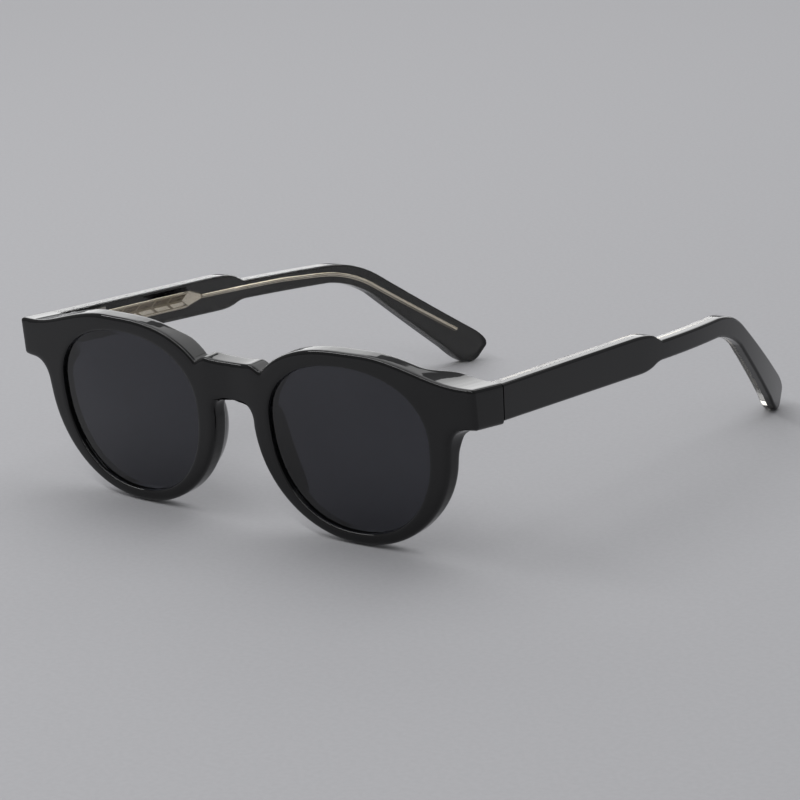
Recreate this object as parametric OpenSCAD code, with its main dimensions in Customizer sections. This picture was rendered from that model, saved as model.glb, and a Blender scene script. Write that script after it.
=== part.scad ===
// Round sunglasses: an acetate front with two folding temples, each with a metal core in its clear inner layer.
// Millimetres. +X is the wearer's left, +Y runs back along the temples, +Z is up.
// The origin is on the surface that the glasses stand on, under the middle of their bounding box.

/* [Lenses] */
// width of a lens opening
lens_w = 47; // [40:0.5:56]
// height of a lens opening
lens_h = 40.6; // [34:0.2:48]
// distance between the two lens openings
bridge_gap = 23.2; // [20:0.2:30]
// thickness of a lens
lens_t = 2; // [1.6:0.1:2.4]

/* [Front] */
// thickness of the sheet that the front is cut from
front_t = 5.2; // [4.8:0.1:7]
// width of the rim under a lens
rim_low = 2.9; // [2.5:0.1:5]
// width of the rim over a lens
rim_top = 3.6; // [3:0.1:5]
// width of the rim beside a lens
rim_side = 5.4; // [4.8:0.1:7]
// distance from a lens opening to the outer side of the end piece
end_reach = 13.8; // [13:0.1:18]
// height of the end piece at its outer side
end_h = 9.2; // [8.4:0.1:11]
// how far the rims' tops stand over the end pieces
end_drop = 4.8; // [3.5:0.1:6]
// height of the bridge
bridge_h = 9.6; // [7:0.1:12]
// how far the outer ends of the front lie behind its middle
sweep = 2.8; // [2:0.1:6]
// angle by which the front's top leans forwards
lean = 4.8; // [2:0.1:6]

/* [Nose pads] */
// length of a nose pad
pad_l = 23; // [18:0.5:24]
// how far a nose pad stands back from the front
pad_t = 3.9; // [3:0.1:4.5]
// angle of a nose pad's middle below the middle of the lens
pad_angle = 20; // [16:1:24]

/* [Temples] */
// length of a temple from the joint to the tip, seen from above
temple_l = 144.8; // [125:0.5:160]
// thickness of a temple
temple_t = 4.2; // [4:0.1:5]
// thickness of a temple's black outer layer
outer_t = 2.2; // [2:0.1:2.6]
// height of a temple's wide front part
paddle_h = 9.6; // [8.8:0.1:11]
// height of a temple's slender part
wrist_h = 5; // [4.4:0.1:6]
// how far a temple's tip bows inwards
tip_bow = 15.2; // [10:0.2:18]
// height of the metal plate in a temple
core_h = 4.4; // [3.6:0.1:5]
// width of the metal wire in a temple
wire_w = 1.2; // [1:0.1:1.4]

/* [Hinges] */
// height of a hinge's five knuckles together
hinge_h = 5.8; // [5:0.1:6.4]
// outer radius of a knuckle
knuckle_r = 1.65; // [1.5:0.05:1.8]
// radius of a hinge screw's shank
screw_r = 0.6; // [0.5:0.05:0.7]

/* [Hidden] */
$fn = 64;
slack = 0.03;
reach = 60;

// lenses and rims, in the front's own plane: x across, the second value up from the rims' bottoms
lens_x = (bridge_gap + lens_w) / 2;
lens_low = 0.6 * lens_h;
lens_up = lens_h - lens_low;
lens_z = rim_low + lens_low;
squareness = 2.2;
front_h = lens_z + lens_up + rim_top;
groove = 0.6;
lens_set = 1;

// the end pieces
end_x = lens_x + lens_w / 2 + end_reach;
end_top = front_h - end_drop;
end_low = end_top - end_h;
flare = 0.4;
front_y = -1.4;
end_t = 9.8;
joint_gap = 0.2;

// the joint, where an end piece meets its temple
end_fall = 0.06;
end_top_z = end_top * cos(lean);
end_low_z = end_low * cos(lean);
joint_y = front_y + end_t;
joint_top_z = end_top_z - 0.4;
joint_low_z = end_low_z - 0.3;
joint_z = (joint_top_z + joint_low_z) / 2;
joint_x = end_x + flare;

// the hinge
pin_x = joint_x - temple_t - knuckle_r - 0.35;
pin_y = joint_y + knuckle_r + 0.75;
knuckle_gap = 0.06;
knuckle_h = (hinge_h - 4 * knuckle_gap) / 5;
knuckle_pitch = knuckle_h + knuckle_gap;
hinge_z = joint_z - hinge_h / 2;
leaf_t = 1.1;
leaf_l = 11;
leaf_w = 5;
leaf_side = 1.4;

// the temples
temple_y = joint_y + joint_gap;
toe_in = 0.04;
bow_y = temple_y + 0.396 * temple_l;
tip_y = temple_y + temple_l;
core_t = 0.9;
steps = 24;

// the whole object's middle, which the origin lies under
mid_y = (front_y - front_h * sin(lean) + tip_y) / 2;

// a point on an oval whose upper and lower halves have heights of their own
function oval_point(a, half_w, up, down, up_n, down_n) =
  let (c = cos(a), s = sin(a), n = s > 0 ? up_n : down_n)
  [half_w * sign(c) * pow(abs(c), 2 / n), (s > 0 ? up : down) * sign(s) * pow(abs(s), 2 / n)];

// a smooth step from one point to another, level at both ends
function s_curve(from, to, count = 8) =
  [for (i = [0 : count])
    let (t = i / count)
    [from[0] + (to[0] - from[0]) * t, from[1] + (to[1] - from[1]) * (1 - cos(180 * t)) / 2]];

// a soft corner from one point to another, pulled towards a third between them
function corner(from, pull, to, count = 8) =
  [for (i = [0 : count])
    let (t = i / count)
    (1 - t) * (1 - t) * from + 2 * t * (1 - t) * pull + t * t * to];

// a place on a temple: part of its length behind the joint, part of the joint's height over the ground
function on_temple(along, up) = [temple_y + along * temple_l, up * joint_z];

// how far a temple's outer face lies from the middle plane at a distance behind the front
function side_x(y) =
  joint_x - toe_in * (y - temple_y) - tip_bow * pow(max(0, y - bow_y) / (tip_y - bow_y), 2);

// the slope of that face there
function side_slope(y) =
  toe_in + 2 * tip_bow * max(0, y - bow_y) / pow(tip_y - bow_y, 2);

// the same, for a face that lies deeper in the temple
function depth_x(y, depth) = side_x(y) - depth * sqrt(1 + pow(side_slope(y), 2));

// how far the front's face lies behind its middle at a distance to the side
function swept(x) = sweep * pow(x / end_x, 2);

// Outlines in the front's plane

module oval(half_w, up, down, up_n, down_n) {
  polygon([for (a = [0 : 5 : 355]) oval_point(a, half_w, up, down, up_n, down_n)]);
}

module lens_outline(grow) {
  translate([lens_x, lens_z])
    oval(lens_w / 2 + grow, lens_up + grow, lens_low + grow, squareness, squareness);
}

module rim_outline() {
  translate([lens_x, lens_z])
    oval(lens_w / 2 + rim_side, lens_up + rim_top, lens_low + rim_low, 2.35, 2.05);
}

// the end piece with the rim's top running down into it
module end_outline() {
  polygon(concat(
    [[lens_x, front_h]],
    s_curve([lens_x + 6, front_h], [end_x - 2.5, end_top], 12),
    [
      [end_x + flare, end_top], [end_x + flare, end_low - 0.5], [end_x - 4, end_low - 0.8],
      [end_x - 7.6, end_low - 3.4], [lens_x + lens_w / 2 + rim_side - 1.6, lens_z - 6], [lens_x, lens_z]
    ]
  ));
}

// the thicker block behind the end piece, which carries the hinge
module block_outline() {
  polygon([
    [lens_x + 17, end_top + 0.2], [end_x + flare, end_top],
    [end_x + flare, end_low - 0.5], [lens_x + 17, end_low - 1]
  ]);
}

module bridge_outline() {
  bridge_top = lens_z + 0.657 * (lens_up + rim_top);
  half = bridge_gap / 2;
  polygon([
    [0, bridge_top], [half - 7, bridge_top + 0.15], [half - 4.4, bridge_top + 0.5],
    [half - 1.2, bridge_top - 0.9], [half + 1, bridge_top - 1.2],
    [half + 1, lens_z], [half - 5, bridge_top - bridge_h], [0, bridge_top - bridge_h]
  ]);
}

module both_halves() {
  children();
  mirror([1, 0]) children();
}

module plain_outline() {
  both_halves() {
    rim_outline();
    end_outline();
    bridge_outline();
  }
}

module round_inside(radius) {
  offset(r = -radius) offset(delta = radius) children();
}

// the whole front, with the inner corners rounded under the bridge and under the end pieces
module front_outline() {
  soften = 0.5;
  offset(r = soften) offset(delta = -soften) {
    plain_outline();
    round_inside(3.2)
      intersection() {
        plain_outline();
        translate([-lens_x, lens_z - 12]) square([2 * lens_x, 18]);
      }
    both_halves()
      round_inside(4)
        intersection() {
          plain_outline();
          translate([lens_x + 5, rim_low]) square([end_x, lens_z + 4]);
        }
  }
}

// Places

module both_sides() {
  children();
  mirror([1, 0, 0]) children();
}

module centred() {
  translate([0, -mid_y, 0]) children();
}

// carries an outline drawn in the front's plane into place, from one depth behind its face to another
module in_front(depth, thick) {
  translate([0, front_y, 0])
    rotate([lean, 0, 0])
      translate([0, depth + thick, 0])
        rotate([90, 0, 0])
          linear_extrude(thick) children();
}

// a slab in plan, through the whole height
module upright() {
  translate([0, 0, -reach]) linear_extrude(3 * reach) children();
}

// the swept sheet between two depths behind the front's face
module sheet(depth, thick) {
  count = 12;
  places = [for (i = [-count : count]) i * (end_x + 4) / count];
  translate([0, front_y, 0])
    rotate([lean, 0, 0])
      upright()
        polygon(concat(
          [for (x = places) [x, swept(x) + depth]],
          [for (i = [2 * count : -1 : 0]) [places[i], swept(places[i]) + depth + thick]]
        ));
}

// Front

// the thicker part of the end piece, seen from above
module end_plan() {
  polygon(concat(
    s_curve([lens_x + 19, front_y + front_t - 2.4], [pin_x + leaf_side - leaf_w - 1, joint_y]),
    [[joint_x, joint_y], [end_x, front_y], [end_x, -reach], [lens_x + 19, -reach]]
  ));
}

// what is cut off over and under the end piece, so that its top and bottom run on into the temple's
module end_trim(tilt) {
  translate([end_x, front_y, end_top_z + 0.05])
    rotate([-atan(end_fall), tilt, 0])
      translate([-18, -10, 0]) cube([30, 30, 20]);
  translate([end_x, front_y, end_low_z])
    rotate([-atan(end_fall), -38, 0])
      translate([-4, -10, -20]) cube([30, 30, 20]);
}

// what stands out past the end piece's side
module beyond_side() {
  upright()
    polygon([[joint_x, joint_y], [end_x, front_y], [end_x, -reach], [end_x + reach, -reach],
      [end_x + reach, reach], [joint_x, reach]]);
}

module lens_openings() {
  in_front(-reach / 2, reach) lens_outline(0);
  intersection() {
    sheet(lens_set, lens_t + 0.1);
    in_front(0, end_t) lens_outline(groove);
  }
}

module front_frame() {
  color([0.02, 0.02, 0.025])
    centred()
      difference() {
        union() {
          intersection() {
            sheet(0, front_t);
            in_front(-1, end_t + sweep) front_outline();
          }
          both_sides()
            difference() {
              intersection() {
                sheet(0, end_t + sweep);
                in_front(-1, end_t + sweep) block_outline();
                upright() end_plan();
              }
              end_trim(2);
            }
        }
        both_sides() {
          end_trim(12);
          beyond_side();
          lens_openings();
          leaf_anchor(slack);
          front_leaf_plate(slack);
        }
      }
}

module lens() {
  intersection() {
    sheet(lens_set + 0.05, lens_t);
    in_front(0, end_t) lens_outline(groove - 0.1);
  }
}

module lens_left() {
  color([0.1, 0.1, 0.12, 0.85]) centred() lens();
}

module lens_right() {
  color([0.1, 0.1, 0.12, 0.85]) centred() mirror([1, 0, 0]) lens();
}

// Nose pads

// a pad's section: the first value runs out from the lens's middle, the second back from the front's face
module pad_section() {
  inner = lens_w / 2 + 0.2;
  outer = lens_w / 2 + rim_side;
  crest = [inner + 1.2, front_t + pad_t];
  polygon(concat(
    [[outer, front_t - 1]],
    corner([outer, front_t - 0.4], [outer - 1.4, front_t + 0.75 * pad_t], crest),
    corner(crest, [inner, front_t + pad_t], [inner, front_t + 1], 4),
    [[inner, front_t - 1]]
  ));
}

// a pad's shape seen from the nose: the first value runs along it, the second back
module pad_side() {
  translate([0, front_t]) oval(pad_l / 2, pad_t + 0.2, pad_t + 0.2, 2.6, 2.6);
}

// a pad follows the rim's nose side, below the middle of the lens, and keeps within the rim
module nose_pad() {
  difference() {
    intersection() {
      translate([0, front_y, 0])
        rotate([lean, 0, 0])
          translate([lens_x, 0, lens_z])
            rotate([-90, 0, 0])
              rotate([0, 0, 180 - pad_angle])
                intersection() {
                  rotate([0, 0, -40]) rotate_extrude(angle = 80) pad_section();
                  rotate([90, 0, 90]) linear_extrude(lens_w) pad_side();
                }
      in_front(0, 2 * end_t)
        difference() {
          rim_outline();
          lens_outline(0.3);
        }
    }
    sheet(-1, front_t + 1 + slack);
  }
}

module nose_pad_left() {
  color([0.02, 0.02, 0.025]) centred() nose_pad();
}

module nose_pad_right() {
  color([0.02, 0.02, 0.025]) centred() mirror([1, 0, 0]) nose_pad();
}

// Hinges

// every other knuckle from a given one on
module knuckles(first, count) {
  for (i = [0 : count - 1])
    translate([pin_x, pin_y, hinge_z + (first + 2 * i) * knuckle_pitch]) children();
}

module screw_hole() {
  translate([pin_x, pin_y, hinge_z - 1]) cylinder(h = hinge_h + 2, r = screw_r + slack);
}

module front_leaf_plate(room) {
  translate([pin_x + leaf_side - leaf_w - room, joint_y - 0.7 - room, joint_z - hinge_h / 2 - 0.3 - room])
    cube([leaf_w + 2 * room, leaf_t + 2 * room, hinge_h + 0.6 + 2 * room]);
}

// the anchor that is sunk into the end piece
module leaf_anchor(room) {
  translate([pin_x - 1.2 - room, joint_y - 3.6 - room, joint_z - 1.6 - room])
    cube([2.4 + 2 * room, 3.2 + 2 * room, 3.2 + 2 * room]);
}

module front_leaf() {
  difference() {
    union() {
      front_leaf_plate(0);
      leaf_anchor(0);
      knuckles(0, 3) {
        cylinder(h = knuckle_h, r = knuckle_r);
      }
      knuckles(0, 3) {
        translate([-knuckle_r, joint_y - pin_y, 0]) cube([2 * knuckle_r - 0.5, pin_y - joint_y, knuckle_h]);
      }
    }
    screw_hole();
  }
}

module hinge_front_leaf_left() {
  color([0.62, 0.6, 0.56]) centred() front_leaf();
}

module hinge_front_leaf_right() {
  color([0.62, 0.6, 0.56]) centred() mirror([1, 0, 0]) front_leaf();
}

// the leaf lies in the temple's inner face and a little proud of it
module temple_leaf_plate(room) {
  leaf_y = pin_y + knuckle_r + 0.15;
  intersection() {
    band(outer_t + core_t - room, temple_t + 0.25);
    translate([pin_x - 5, leaf_y - room, joint_z - hinge_h / 2 - 0.1 - room])
      cube([20, leaf_l + 2 * room, hinge_h + 0.2 + 2 * room]);
  }
}

module temple_leaf() {
  arm_x = joint_x - temple_t - 0.3 - pin_x;
  difference() {
    union() {
      temple_leaf_plate(0);
      knuckles(1, 2) {
        cylinder(h = knuckle_h, r = knuckle_r);
      }
      knuckles(1, 2) {
        cube([arm_x, knuckle_r + 1, knuckle_h]);
      }
    }
    screw_hole();
  }
}

module hinge_temple_leaf_left() {
  color([0.62, 0.6, 0.56]) centred() temple_leaf();
}

module hinge_temple_leaf_right() {
  color([0.62, 0.6, 0.56]) centred() mirror([1, 0, 0]) temple_leaf();
}

module screw() {
  head_r = 1.15;
  head_h = 0.45;
  difference() {
    translate([pin_x, pin_y, hinge_z]) {
      cylinder(h = hinge_h, r = screw_r);
      translate([0, 0, hinge_h]) cylinder(h = head_h, r = head_r);
    }
    translate([pin_x - 0.15, pin_y - 2, hinge_z + hinge_h + 0.2]) cube([0.3, 4, 1]);
  }
}

module hinge_screws() {
  color([0.7, 0.69, 0.66]) centred() both_sides() screw();
}

// Temples

// the space between two depths under a temple's outer face, seen from above
module band(from, to) {
  stations = [for (i = [0 : steps]) temple_y + (tip_y - temple_y) * i / steps];
  upright()
    polygon(concat(
      [for (y = stations) [depth_x(y, from), y]],
      [for (i = [steps : -1 : 0]) [depth_x(stations[i], to), stations[i]]]
    ));
}

// a shape drawn from the side, the first value back and the second up, through the temple's thickness
module from_side() {
  translate([joint_x - 2 * tip_bow, 0, 0])
    rotate([90, 0, 90]) linear_extrude(2 * tip_bow + 5) children();
}

// a temple's outline: wide in front, slender behind, bent down at the ear, with a wider tip
module temple_outline() {
  joint_top = on_temple(0, 1) + [0, joint_top_z - joint_z - 0.15];
  joint_low = on_temple(0, 1) - [0, joint_z - joint_low_z - 0.1];
  paddle = on_temple(0.37, 0.95);
  wrist = on_temple(0.448, 0.926);
  half = paddle_h / 2;
  thin = wrist_h / 2;
  polygon(concat(
    [joint_top],
    corner(paddle + [0, half - 0.1], paddle + [6, half - 0.3], paddle + [8.6, half - 1.3], 4),
    corner(paddle + [8.6, half - 1.3], wrist + [-0.6, thin + 0.6], wrist + [0.8, thin], 3),
    corner(on_temple(0.655, 0.957), on_temple(0.722, 0.94), on_temple(0.772, 0.802)),
    corner(on_temple(0.958, 0.293), on_temple(1.009, 0.165), on_temple(0.996, 0.1)),
    corner(on_temple(0.984, 0.045), on_temple(0.975, 0), on_temple(0.962, 0), 4),
    corner(on_temple(0.962, 0), on_temple(0.948, 0), on_temple(0.915, 0.135), 6),
    corner(on_temple(0.755, 0.672), on_temple(0.708, 0.795), on_temple(0.655, 0.822)),
    corner(wrist + [0.8, -thin], wrist + [-1.2, -thin], paddle + [8.6, 0.8 - half], 3),
    corner(paddle + [8.6, 0.8 - half], paddle + [6.4, -half], paddle + [3, -half], 4),
    [joint_low]
  ));
}

// the metal core's middle line: from the hinge to the plate's point, then the wire to near the tip
function wire_line() = concat(
  [on_temple(0.33, 0.961), on_temple(0.55, 0.925)],
  corner(on_temple(0.64, 0.895), on_temple(0.7, 0.874), on_temple(0.75, 0.76)),
  [on_temple(0.938, 0.271)]
);

// the direction across the wire at one of its points
function across(line, i) =
  let (
    before = line[max(0, i - 1)],
    after = line[min(len(line) - 1, i + 1)],
    run = after - before
  )
  [-run[1], run[0]] / norm(run);

module wire_outline(grow) {
  line = wire_line();
  half = wire_w / 2 + grow;
  polygon(concat(
    [for (i = [0 : len(line) - 1]) line[i] + half * across(line, i)],
    [for (i = [len(line) - 1 : -1 : 0]) line[i] - half * across(line, i)]
  ));
}

module plate_outline(grow) {
  half = core_h / 2 + grow;
  start = on_temple(0.055, 0.993);
  shoulder = on_temple(0.318, 0.963);
  point = on_temple(0.357, 0.958);
  polygon([
    start + [-grow, half], shoulder + [0, half], point + [grow, 0.3], point + [grow, -0.3],
    shoulder - [2, half], start - [grow, half]
  ]);
}

module core_space(grow) {
  intersection() {
    band(outer_t, outer_t + core_t + grow);
    from_side() {
      wire_outline(grow);
      plate_outline(grow);
    }
  }
}

module outer_layer() {
  intersection() {
    band(0, outer_t);
    from_side() temple_outline();
  }
}

module inner_layer() {
  difference() {
    intersection() {
      band(outer_t, temple_t);
      from_side() temple_outline();
    }
    core_space(slack);
    temple_leaf_plate(slack);
  }
}

module temple_outer_layer_left() {
  color([0.02, 0.02, 0.025]) centred() outer_layer();
}

module temple_outer_layer_right() {
  color([0.02, 0.02, 0.025]) centred() mirror([1, 0, 0]) outer_layer();
}

module temple_inner_layer_left() {
  color([0.8, 0.8, 0.78, 0.35]) centred() inner_layer();
}

module temple_inner_layer_right() {
  color([0.8, 0.8, 0.78, 0.35]) centred() mirror([1, 0, 0]) inner_layer();
}

module temple_core_left() {
  color([0.75, 0.69, 0.58]) centred() core_space(0);
}

module temple_core_right() {
  color([0.75, 0.69, 0.58]) centred() mirror([1, 0, 0]) core_space(0);
}

front_frame();
lens_left();
lens_right();
nose_pad_left();
nose_pad_right();
hinge_front_leaf_left();
hinge_front_leaf_right();
hinge_temple_leaf_left();
hinge_temple_leaf_right();
hinge_screws();
temple_outer_layer_left();
temple_outer_layer_right();
temple_inner_layer_left();
temple_inner_layer_right();
temple_core_left();
temple_core_right();
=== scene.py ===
from math import atan2, copysign, cos, pi, radians, sin, sqrt

import bmesh
import bpy
import numpy as np
from mathutils import Matrix, Quaternion, Vector


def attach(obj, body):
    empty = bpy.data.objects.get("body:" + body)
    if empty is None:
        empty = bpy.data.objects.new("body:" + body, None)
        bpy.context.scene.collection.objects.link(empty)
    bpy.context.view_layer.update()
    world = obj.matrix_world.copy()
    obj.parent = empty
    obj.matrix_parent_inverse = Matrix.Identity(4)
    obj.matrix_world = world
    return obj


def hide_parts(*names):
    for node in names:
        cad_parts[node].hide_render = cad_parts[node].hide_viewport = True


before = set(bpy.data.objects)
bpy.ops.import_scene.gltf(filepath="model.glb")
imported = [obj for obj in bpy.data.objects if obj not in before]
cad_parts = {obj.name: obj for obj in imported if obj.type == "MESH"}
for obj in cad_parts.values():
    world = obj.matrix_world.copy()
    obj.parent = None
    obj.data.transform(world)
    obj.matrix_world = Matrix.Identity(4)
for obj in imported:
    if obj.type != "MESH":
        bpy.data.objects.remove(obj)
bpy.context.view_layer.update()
print("CAD frame loaded:", len(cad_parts), "nodes")

mm = 0.001  # all sizes below are in millimetres, and Blender's are in metres
samePlace = 0.000002  # metres: points nearer to each other than this are joined
inPlane = 0.0000001  # metres: a point this near a plane counts as lying in it


# Small helpers

def selectOnly(*pieces):
    bpy.ops.object.select_all(action="DESELECT")
    for piece in pieces:
        piece.select_set(True)
    bpy.context.view_layer.objects.active = pieces[-1]


def nameNew(name):
    # the object that an operator has just added
    piece = bpy.context.object
    piece.name = name
    piece.data.name = name
    return piece


def inEditMode(piece):
    selectOnly(piece)
    bpy.ops.object.mode_set(mode="EDIT")
    return bmesh.from_edit_mesh(piece.data)


def leaveEditMode():
    bpy.ops.object.mode_set(mode="OBJECT")


def selectEdges(mesh, wanted):
    # edge select mode, with only the wanted edges selected
    bpy.ops.mesh.select_mode(type="EDGE")
    bpy.ops.mesh.select_all(action="DESELECT")
    for edge in mesh.edges:
        if wanted(edge):
            edge.select = True
    mesh.select_flush_mode()


def closeMesh(piece):
    # joins what meets and turns every face outwards
    inEditMode(piece)
    bpy.ops.mesh.select_all(action="SELECT")
    bpy.ops.mesh.remove_doubles(threshold=samePlace)
    bpy.ops.mesh.normals_make_consistent(inside=False)
    leaveEditMode()


def applyModifier(piece, kind, **settings):
    selectOnly(piece)
    bpy.ops.object.modifier_add(type=kind)
    modifier = piece.modifiers[-1]
    for setting, value in settings.items():
        setattr(modifier, setting, value)
    bpy.ops.object.modifier_apply(modifier=modifier.name)


def smoothShade(piece, angle=40):
    # rounded edges shade smoothly and flat faces stay flat between them
    selectOnly(piece)
    bpy.ops.object.shade_smooth_by_angle(angle=radians(angle))
    applyModifier(piece, "WEIGHTED_NORMAL", keep_sharp=True, weight=60)


def mirroredCopy(piece, name):
    # the same piece for the other side, with its own mesh
    selectOnly(piece)
    bpy.ops.object.duplicate()
    other = nameNew(name)
    other.scale.x = -1
    bpy.ops.object.transform_apply(location=False, rotation=False, scale=True)
    closeMesh(other)
    return other


def gridPiece(name, columns, rows, place):
    # a flat grid whose points are carried to their places: place(column, row) gives one in metres
    bpy.ops.object.select_all(action="DESELECT")
    bpy.ops.mesh.primitive_grid_add(x_subdivisions=columns, y_subdivisions=rows, size=2)
    piece = nameNew(name)
    for vertex in piece.data.vertices:
        column = round((vertex.co.x + 1) / 2 * columns)
        row = round((vertex.co.y + 1) / 2 * rows)
        vertex.co = place(column, row)
    return piece


def setMaterial(piece, material):
    piece.data.materials.clear()
    piece.data.materials.append(material)


def finishPiece(piece, body, slot, *nodes):
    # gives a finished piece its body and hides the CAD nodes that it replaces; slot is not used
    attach(piece, body)
    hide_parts(*nodes)


# Curves

def ovalPoint(angle, oval):
    # a point on an oval whose upper and lower halves have heights and powers of their own
    halfWidth, up, down, upPower, downPower = oval
    c, s = cos(angle), sin(angle)
    power = upPower if s > 0 else downPower
    height = up if s > 0 else down
    return Vector((
        halfWidth * copysign(abs(c) ** (2 / power), c),
        height * copysign(abs(s) ** (2 / power), s),
    ))


def softCorner(start, pull, end, count=8):
    # a soft corner from one point to another, pulled towards a third between them
    start, pull, end = Vector(start), Vector(pull), Vector(end)
    steps = [i / count for i in range(count + 1)]
    return [(1 - t) ** 2 * start + 2 * t * (1 - t) * pull + t * t * end for t in steps]


def softStep(start, end, value):
    # 0 before start, 1 after end and smooth between them
    t = min(1, max(0, (value - start) / (end - start)))
    return t * t * (3 - 2 * t)


def evenly(points, spacing):
    # points at an even spacing along a line of points, with both its ends
    gaps = [(b - a).length for a, b in zip(points, points[1:])]
    count = max(2, round(sum(gaps) / spacing))
    made = []
    along = 0
    i = 0
    for k in range(count):
        station = sum(gaps) * k / count
        while along + gaps[i] < station:
            along += gaps[i]
            i += 1
        made.append(points[i].lerp(points[i + 1], (station - along) / gaps[i]))
    return made + [points[-1]]


# Sizes that several pieces share

front = {
    "lensX": 35.1,  # from the middle to a lens's middle
    "lensZ": 27.26,  # height of a lens's middle, along the leaning front
    "lensHalf": 23.5,
    "lensUp": 16.24,
    "lensLow": 24.36,
    "lensPower": 2.2,  # 2 would be an ellipse, and more is squarer
    "rimPowerTop": 2.35,
    "rimPowerLow": 2.05,
    "rimSide": 5.4,
    "rimTop": 3.6,
    "rimLow": 2.9,
    "height": 47.1,
    "thick": 5.2,
    "endX": 72.4,  # the end piece's outer side
    "endTop": 42.3,
    "endLow": 33.1,
    "flare": 0.4,
    "shoulderFrom": 6,  # from a lens's middle to where the top starts to fall to the end piece
    "shoulderRun": 28.8,
    "bridgeTop": 40.3,
    "bridgeLow": 30.7,
    "sweep": 2.8,  # how far the ends lie behind the middle
    "lean": radians(4.8),
    "faceY": -1.4,
    "jointY": 8.4,  # the plane where the end pieces stop
    "middleY": 74.03,  # the row frame's origin lies under this
}

lensOval = (front["lensHalf"], front["lensUp"], front["lensLow"], front["lensPower"], front["lensPower"])
rimOval = (
    front["lensHalf"] + front["rimSide"],
    front["lensUp"] + front["rimTop"],
    front["lensLow"] + front["rimLow"],
    front["rimPowerTop"],
    front["rimPowerLow"],
)
lensMiddle = Vector((front["lensX"], front["lensZ"]))


def grownLens(angle, grow):
    # the lens opening's outline, made wider all round
    halfWidth, up, down, upPower, downPower = lensOval
    return lensMiddle + ovalPoint(angle, (halfWidth + grow, up + grow, down + grow, upPower, downPower))


def sweptBack(x):
    return front["sweep"] * (x / front["endX"]) ** 2


def inFront(x, height, depth):
    # a point given in the front's own leaning plane, in the row frame
    back = sweptBack(x) + depth
    y = front["faceY"] + back * cos(front["lean"]) - height * sin(front["lean"])
    z = back * sin(front["lean"]) + height * cos(front["lean"])
    return Vector((x, y - front["middleY"], z)) * mm


# Materials

def linear(hexColour):
    # an sRGB hex colour as the linear colour that a shader takes
    parts = [int(hexColour[i:i + 2], 16) / 255 for i in (1, 3, 5)]
    return [c / 12.92 if c <= 0.04045 else ((c + 0.055) / 1.055) ** 2.4 for c in parts] + [1]


def addNode(tree, kind, settings={}, links={}):
    # one node: settings by input name or property, links as input name to another node's output
    node = tree.nodes.new(kind)
    for key, value in settings.items():
        if key in node.inputs:
            node.inputs[key].default_value = value
        else:
            setattr(node, key, value)
    for key, output in links.items():
        tree.links.new(output, node.inputs[key])
    return node


def newMaterial(name):
    material = bpy.data.materials.new(name)
    material.use_nodes = True
    tree = material.node_tree
    shader = tree.nodes["Principled BSDF"]
    place = addNode(tree, "ShaderNodeTexCoord").outputs["Object"]
    return material, tree, shader, place


def rampBetween(tree, factor, low, high, start=0.35, end=0.65):
    # a colour that runs from low to high as the factor goes from start to end
    ramp = addNode(tree, "ShaderNodeValToRGB", {}, {"Fac": factor})
    ramp.color_ramp.elements[0].position = start
    ramp.color_ramp.elements[0].color = low
    ramp.color_ramp.elements[1].position = end
    ramp.color_ramp.elements[1].color = high
    return ramp.outputs["Color"]


def rangeOf(tree, value, low, high, fromLow=0.3, fromHigh=0.7):
    # a value that runs from low to high as the given one goes from fromLow to fromHigh
    node = addNode(tree, "ShaderNodeMapRange", {
        "From Min": fromLow, "From Max": fromHigh, "To Min": low, "To Max": high,
    }, {"Value": value})
    return node.outputs["Result"]


def addNoise(tree, place, size, detail):
    # soft noise whose clouds lie about size millimetres apart
    settings = {"Scale": 1 / (size * mm), "Detail": detail}
    node = addNode(tree, "ShaderNodeTexNoise", settings, {"Vector": place})
    return node.outputs["Fac"]


def setColour(tree, shader, factor, first, second):
    tree.links.new(rampBetween(tree, factor, linear(first), linear(second)), shader.inputs["Base Color"])


def setRough(tree, shader, factor, low, high):
    tree.links.new(rangeOf(tree, factor, low, high), shader.inputs["Roughness"])


def setBump(tree, shader, height, strength, depth):
    # the shallow relief that a height between 0 and 1 gives, with its depth in millimetres
    settings = {"Strength": strength, "Distance": depth * mm}
    bump = addNode(tree, "ShaderNodeBump", settings, {"Height": height})
    tree.links.new(bump.outputs["Normal"], shader.inputs["Normal"])


acetateLook = {
    "deep": "#030304",
    "worn": "#070708",
    "ior": 1.48,
    "cloud": 9,  # mm across the faint clouding that is left in a dyed sheet
    "polish": 2.4,  # mm between the shallow ripples that a buffing wheel leaves
    "hairline": 0.25,  # mm between fine rubbing marks
    "smooth": 0.03,  # roughness between the marks
    "rubbed": 0.055,  # and in them
    "ripple": 0.12,
    "rippleDepth": 0.02,
}


def blackAcetate():
    # cast sheet, milled and barrel polished: deep black, with soft ripples that bend its highlights a little
    material, tree, shader, place = newMaterial("polished_black_acetate")
    look = acetateLook
    setColour(tree, shader, addNoise(tree, place, look["cloud"], 3), look["deep"], look["worn"])
    setRough(tree, shader, addNoise(tree, place, look["hairline"], 4), look["smooth"], look["rubbed"])
    setBump(tree, shader, addNoise(tree, place, look["polish"], 1), look["ripple"], look["rippleDepth"])
    shader.inputs["IOR"].default_value = look["ior"]
    return material


clearLook = {
    "tint": "#F4F3EE",
    "shade": "#EDEBE3",
    "ior": 1.48,
    "flow": 6,  # mm across the faint streaks of the cast sheet
    "smooth": 0.015,
    "rubbed": 0.03,
    "ripple": 0.03,
    "rippleDepth": 0.02,
}


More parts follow.
